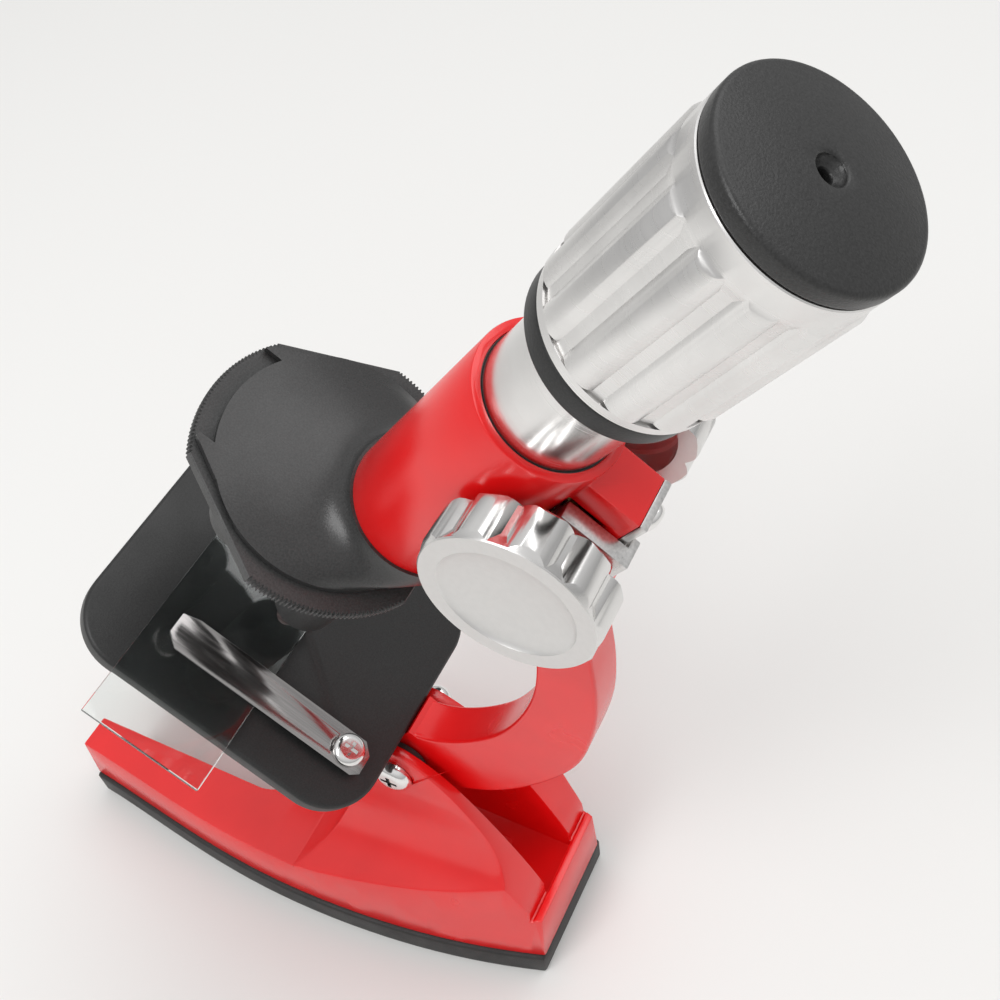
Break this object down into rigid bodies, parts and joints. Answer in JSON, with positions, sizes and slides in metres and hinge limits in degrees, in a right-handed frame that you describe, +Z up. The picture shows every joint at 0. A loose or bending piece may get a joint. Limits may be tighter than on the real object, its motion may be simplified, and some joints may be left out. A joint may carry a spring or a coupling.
{
  "type": "toy microscope",
  "caption": "Child's tilting compound microscope with forked base, curved arm, flat stage with a spring clip, rotating nosepiece and ribbed zoom eyepiece.",
  "frame": {"origin": "on the table under the middle of the base, on the plane of symmetry", "axes": "+X towards the near focus knob, across the symmetry plane; +Y from the stage towards the arm and the leaning eyepiece; +Z up"},
  "size_m": [0.0762, 0.1761, 0.2261],
  "materials": {
    "red_gloss": "glossy moulded",
    "black_matte": "fine matte texture",
    "chrome": "polished plating",
    "steel": "brushed sheet",
    "silver": "satin",
    "brass": "turned",
    "glass": "clear polished",
    "mirror": "silvered"
  },
  "bodies": {
    "base": {"base_shell": "red_gloss", "base_plate": "black_matte", "base_screws": "steel", "hinge_bolt": "chrome", "hinge_nut": "chrome", "hinge_washers": "black_matte"},
    "arm": {"arm": "red_gloss", "focus_bracket": "silver", "shaft_bushes": "brass", "stage_plate": "black_matte", "stage_screws": "steel", "clip_spacer": "black_matte", "clip_screw": "chrome", "mirror_yoke": "black_matte"},
    "stage_clip": {"stage_clip": "steel"},
    "slide": {"glass_slide": "glass"},
    "mirror": {"mirror_frame": "black_matte", "mirror_glass": "mirror"},
    "tube": {"body_tube": "red_gloss", "draw_liner": "black_matte", "rack": "brass", "gib_plate": "silver", "gib_screw": "chrome", "nosepiece_cover": "black_matte", "turret_screw": "chrome"},
    "knobs": {"knob_near": "chrome", "knob_far": "chrome", "focus_shaft": "steel", "pinion": "brass"},
    "turret": {"turret_disc": "black_matte", "objective_high": "black_matte", "objective_mid": "black_matte", "objective_low": "black_matte", "objective_lenses": "glass"},
    "eyepiece": {"draw_tube": "silver", "field_lens": "glass", "stop_ring": "black_matte"},
    "zoom": {"zoom_grip": "silver", "eye_lens": "glass", "eye_cap": "black_matte"}
  },
  "joints": [
    {"name": "inclination", "type": "hinge", "parent": "base", "child": "arm", "pos_m": [0, 0.0305, 0.061], "axis": [1, 0, 0], "range_deg": [-15, 37.3]},
    {"name": "focus_slide", "type": "slide", "parent": "arm", "child": "tube", "axis": [0, 0.606, 0.7955], "range_m": [-0.0028, 0.011]},
    {"name": "focus_knobs", "type": "hinge", "parent": "arm", "child": "knobs", "pos_m": [0, 0.07254, 0.15882], "axis": [1, 0, 0], "range_deg": [-129, 505]},
    {"name": "turret_turn", "type": "hinge", "parent": "tube", "child": "turret", "pos_m": [0, 0.02975, 0.14391], "axis": [0, 0.606, 0.7955], "continuous": true},
    {"name": "eyepiece_draw", "type": "slide", "parent": "tube", "child": "eyepiece", "axis": [0, 0.606, 0.7955], "range_m": [-0.013, 0.01]},
    {"name": "zoom_twist", "type": "hinge", "parent": "eyepiece", "child": "zoom", "pos_m": [0, 0.08821, 0.19919], "axis": [0, 0.606, 0.7955], "range_deg": [0, 180]},
    {"name": "clip_swing", "type": "hinge", "parent": "arm", "child": "stage_clip", "pos_m": [0.01565, 0.0268, 0.07815], "axis": [0, 0.606, 0.7955], "range_deg": [-15, 75]},
    {"name": "slide_shift", "type": "slide", "parent": "arm", "child": "slide", "axis": [1, 0, 0], "range_m": [-0.012, 0.012]},
    {"name": "mirror_tilt", "type": "hinge", "parent": "arm", "child": "mirror", "pos_m": [0, -0.01379, 0.06695], "axis": [1, 0, 0], "range_deg": [-60, 60]}
  ],
  "couplings": [
    {"joint": "focus_knobs", "follows": "focus_slide", "rad_per_m": 800}
  ]
}
